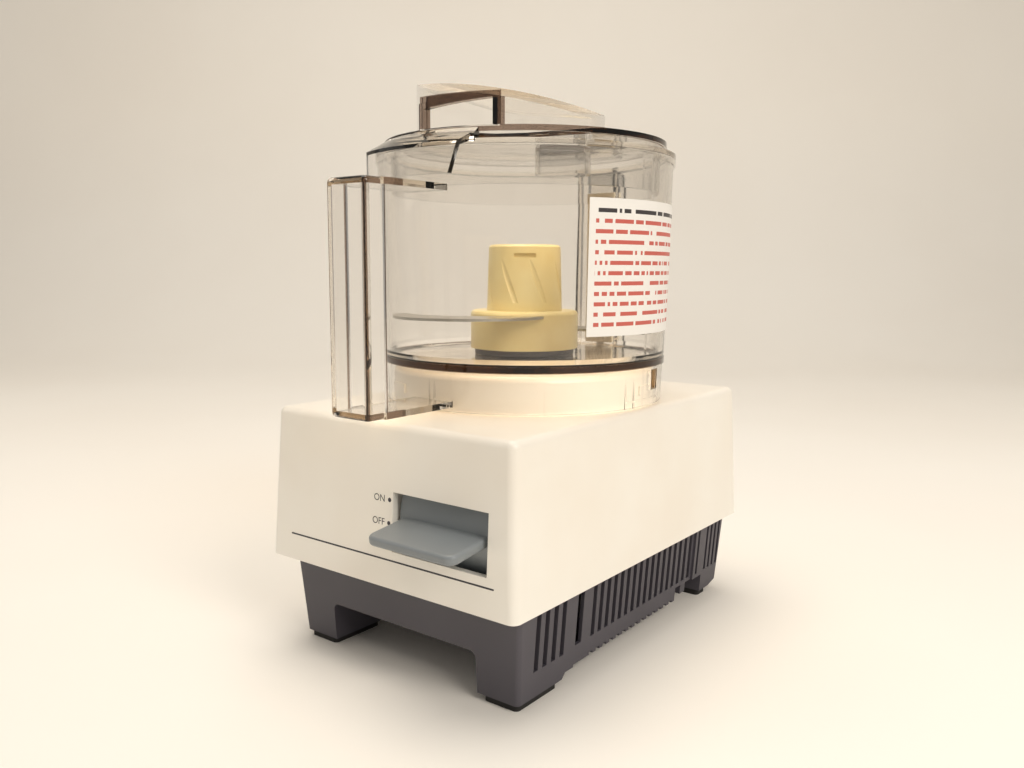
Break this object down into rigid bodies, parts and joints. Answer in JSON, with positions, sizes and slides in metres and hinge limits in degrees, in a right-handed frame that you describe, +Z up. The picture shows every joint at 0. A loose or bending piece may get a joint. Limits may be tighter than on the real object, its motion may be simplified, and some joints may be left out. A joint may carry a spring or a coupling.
{
  "type": "food processor",
  "caption": "Compact food processor: direct-drive motor base with rocking switch lever, clear work bowl with grip, chopping blades and clear lid with interlock.",
  "frame": {"origin": "on the table, below the middle of the overall bounding box", "axes": "+Z up along the drive spindle's direction, -Y towards the lever and the bowl's grip, +X to the right when facing the lever"},
  "size_m": [0.138, 0.2104, 0.2433],
  "materials": {
    "housing_abs": "satin",
    "tray_abs": "fine grain",
    "black_rubber": "matte",
    "zinc_steel": "zinc plated",
    "cast_aluminium": "die cast",
    "lamination_steel": "laminated",
    "copper_enamel": "varnished copper",
    "bearing_steel": "ground",
    "capacitor_can": "drawn",
    "ivory_nylon": "moulded",
    "black_phenolic": "moulded",
    "lever_abs": "satin",
    "clear_bowl": "clear polycarbonate",
    "label_paper": "printed film",
    "cream_acetal": "moulded",
    "blade_steel": "ground"
  },
  "bodies": {
    "base": {"housing": "housing_abs", "base_tray": "tray_abs", "rubber_feet": "black_rubber", "base_screws": "zinc_steel", "cord_grommet": "black_rubber", "motor_mounts": "black_rubber", "motor_lower_bracket": "cast_aluminium", "motor_upper_bracket": "cast_aluminium", "stator_core": "lamination_steel", "stator_windings": "copper_enamel", "motor_bolts": "zinc_steel", "lower_bearing": "bearing_steel", "upper_bearing": "bearing_steel", "shaft_seal": "black_rubber", "run_capacitor": "capacitor_can", "capacitor_clamp": "zinc_steel", "terminal_block": "ivory_nylon", "lever_pin": "bearing_steel", "lever_spring": "zinc_steel", "slide_switch": "black_phenolic", "switch_screws": "zinc_steel", "interlock_switch": "black_phenolic", "button_spring": "zinc_steel"},
    "lever": {"switch_lever": "lever_abs"},
    "actuator": {"switch_actuator": "ivory_nylon"},
    "rotor": {"motor_shaft": "bearing_steel", "rotor_core": "lamination_steel", "cooling_fan": "tray_abs"},
    "button": {"interlock_button": "ivory_nylon"},
    "bowl": {"work_bowl": "clear_bowl", "bowl_label": "label_paper", "rod_spring": "zinc_steel"},
    "rod": {"interlock_rod": "ivory_nylon"},
    "blade": {"blade_hub": "cream_acetal", "upper_blade": "blade_steel", "lower_blade": "blade_steel", "hub_ring": "tray_abs"},
    "lid": {"lid": "clear_bowl"}
  },
  "joints": [
    {"name": "lever_hinge", "type": "hinge", "parent": "base", "child": "lever", "pos_m": [0.0309, -0.05201, 0.0685], "axis": [-1, 0, 0], "range_deg": [-12, 14]},
    {"name": "switch_slide", "type": "slide", "parent": "base", "child": "actuator", "axis": [0, 0, 1], "range_m": [-0.0027, 0.0024]},
    {"name": "rotor_spin", "type": "hinge", "parent": "base", "child": "rotor", "pos_m": [0, 0.00798, 0.066], "axis": [0, 0, 1], "continuous": true},
    {"name": "bowl_lift", "type": "slide", "parent": "base", "child": "bowl", "axis": [0, 0, 1], "range_m": [0, 0.08]},
    {"name": "blade_spin", "type": "hinge", "parent": "bowl", "child": "blade", "pos_m": [0, 0.00798, 0.15], "axis": [0, 0, 1], "continuous": true},
    {"name": "lid_lift", "type": "slide", "parent": "bowl", "child": "lid", "axis": [0, 0, 1], "range_m": [0, 0.1]},
    {"name": "rod_slide", "type": "slide", "parent": "bowl", "child": "rod", "axis": [0, 0, 1], "range_m": [0, 0.004], "deforming": ["rod_spring"]},
    {"name": "button_slide", "type": "slide", "parent": "base", "child": "button", "axis": [0, 0, 1], "range_m": [0, 0.004], "deforming": ["button_spring"]}
  ],
  "couplings": [
    {"joint": "switch_slide", "follows": "lever_hinge", "m_per_rad": -0.011},
    {"joint": "blade_spin", "follows": "rotor_spin", "ratio": 1},
    {"joint": "rod_slide", "follows": "lid_lift", "ratio": 0.04},
    {"joint": "button_slide", "follows": "lid_lift", "ratio": 0.04}
  ]
}
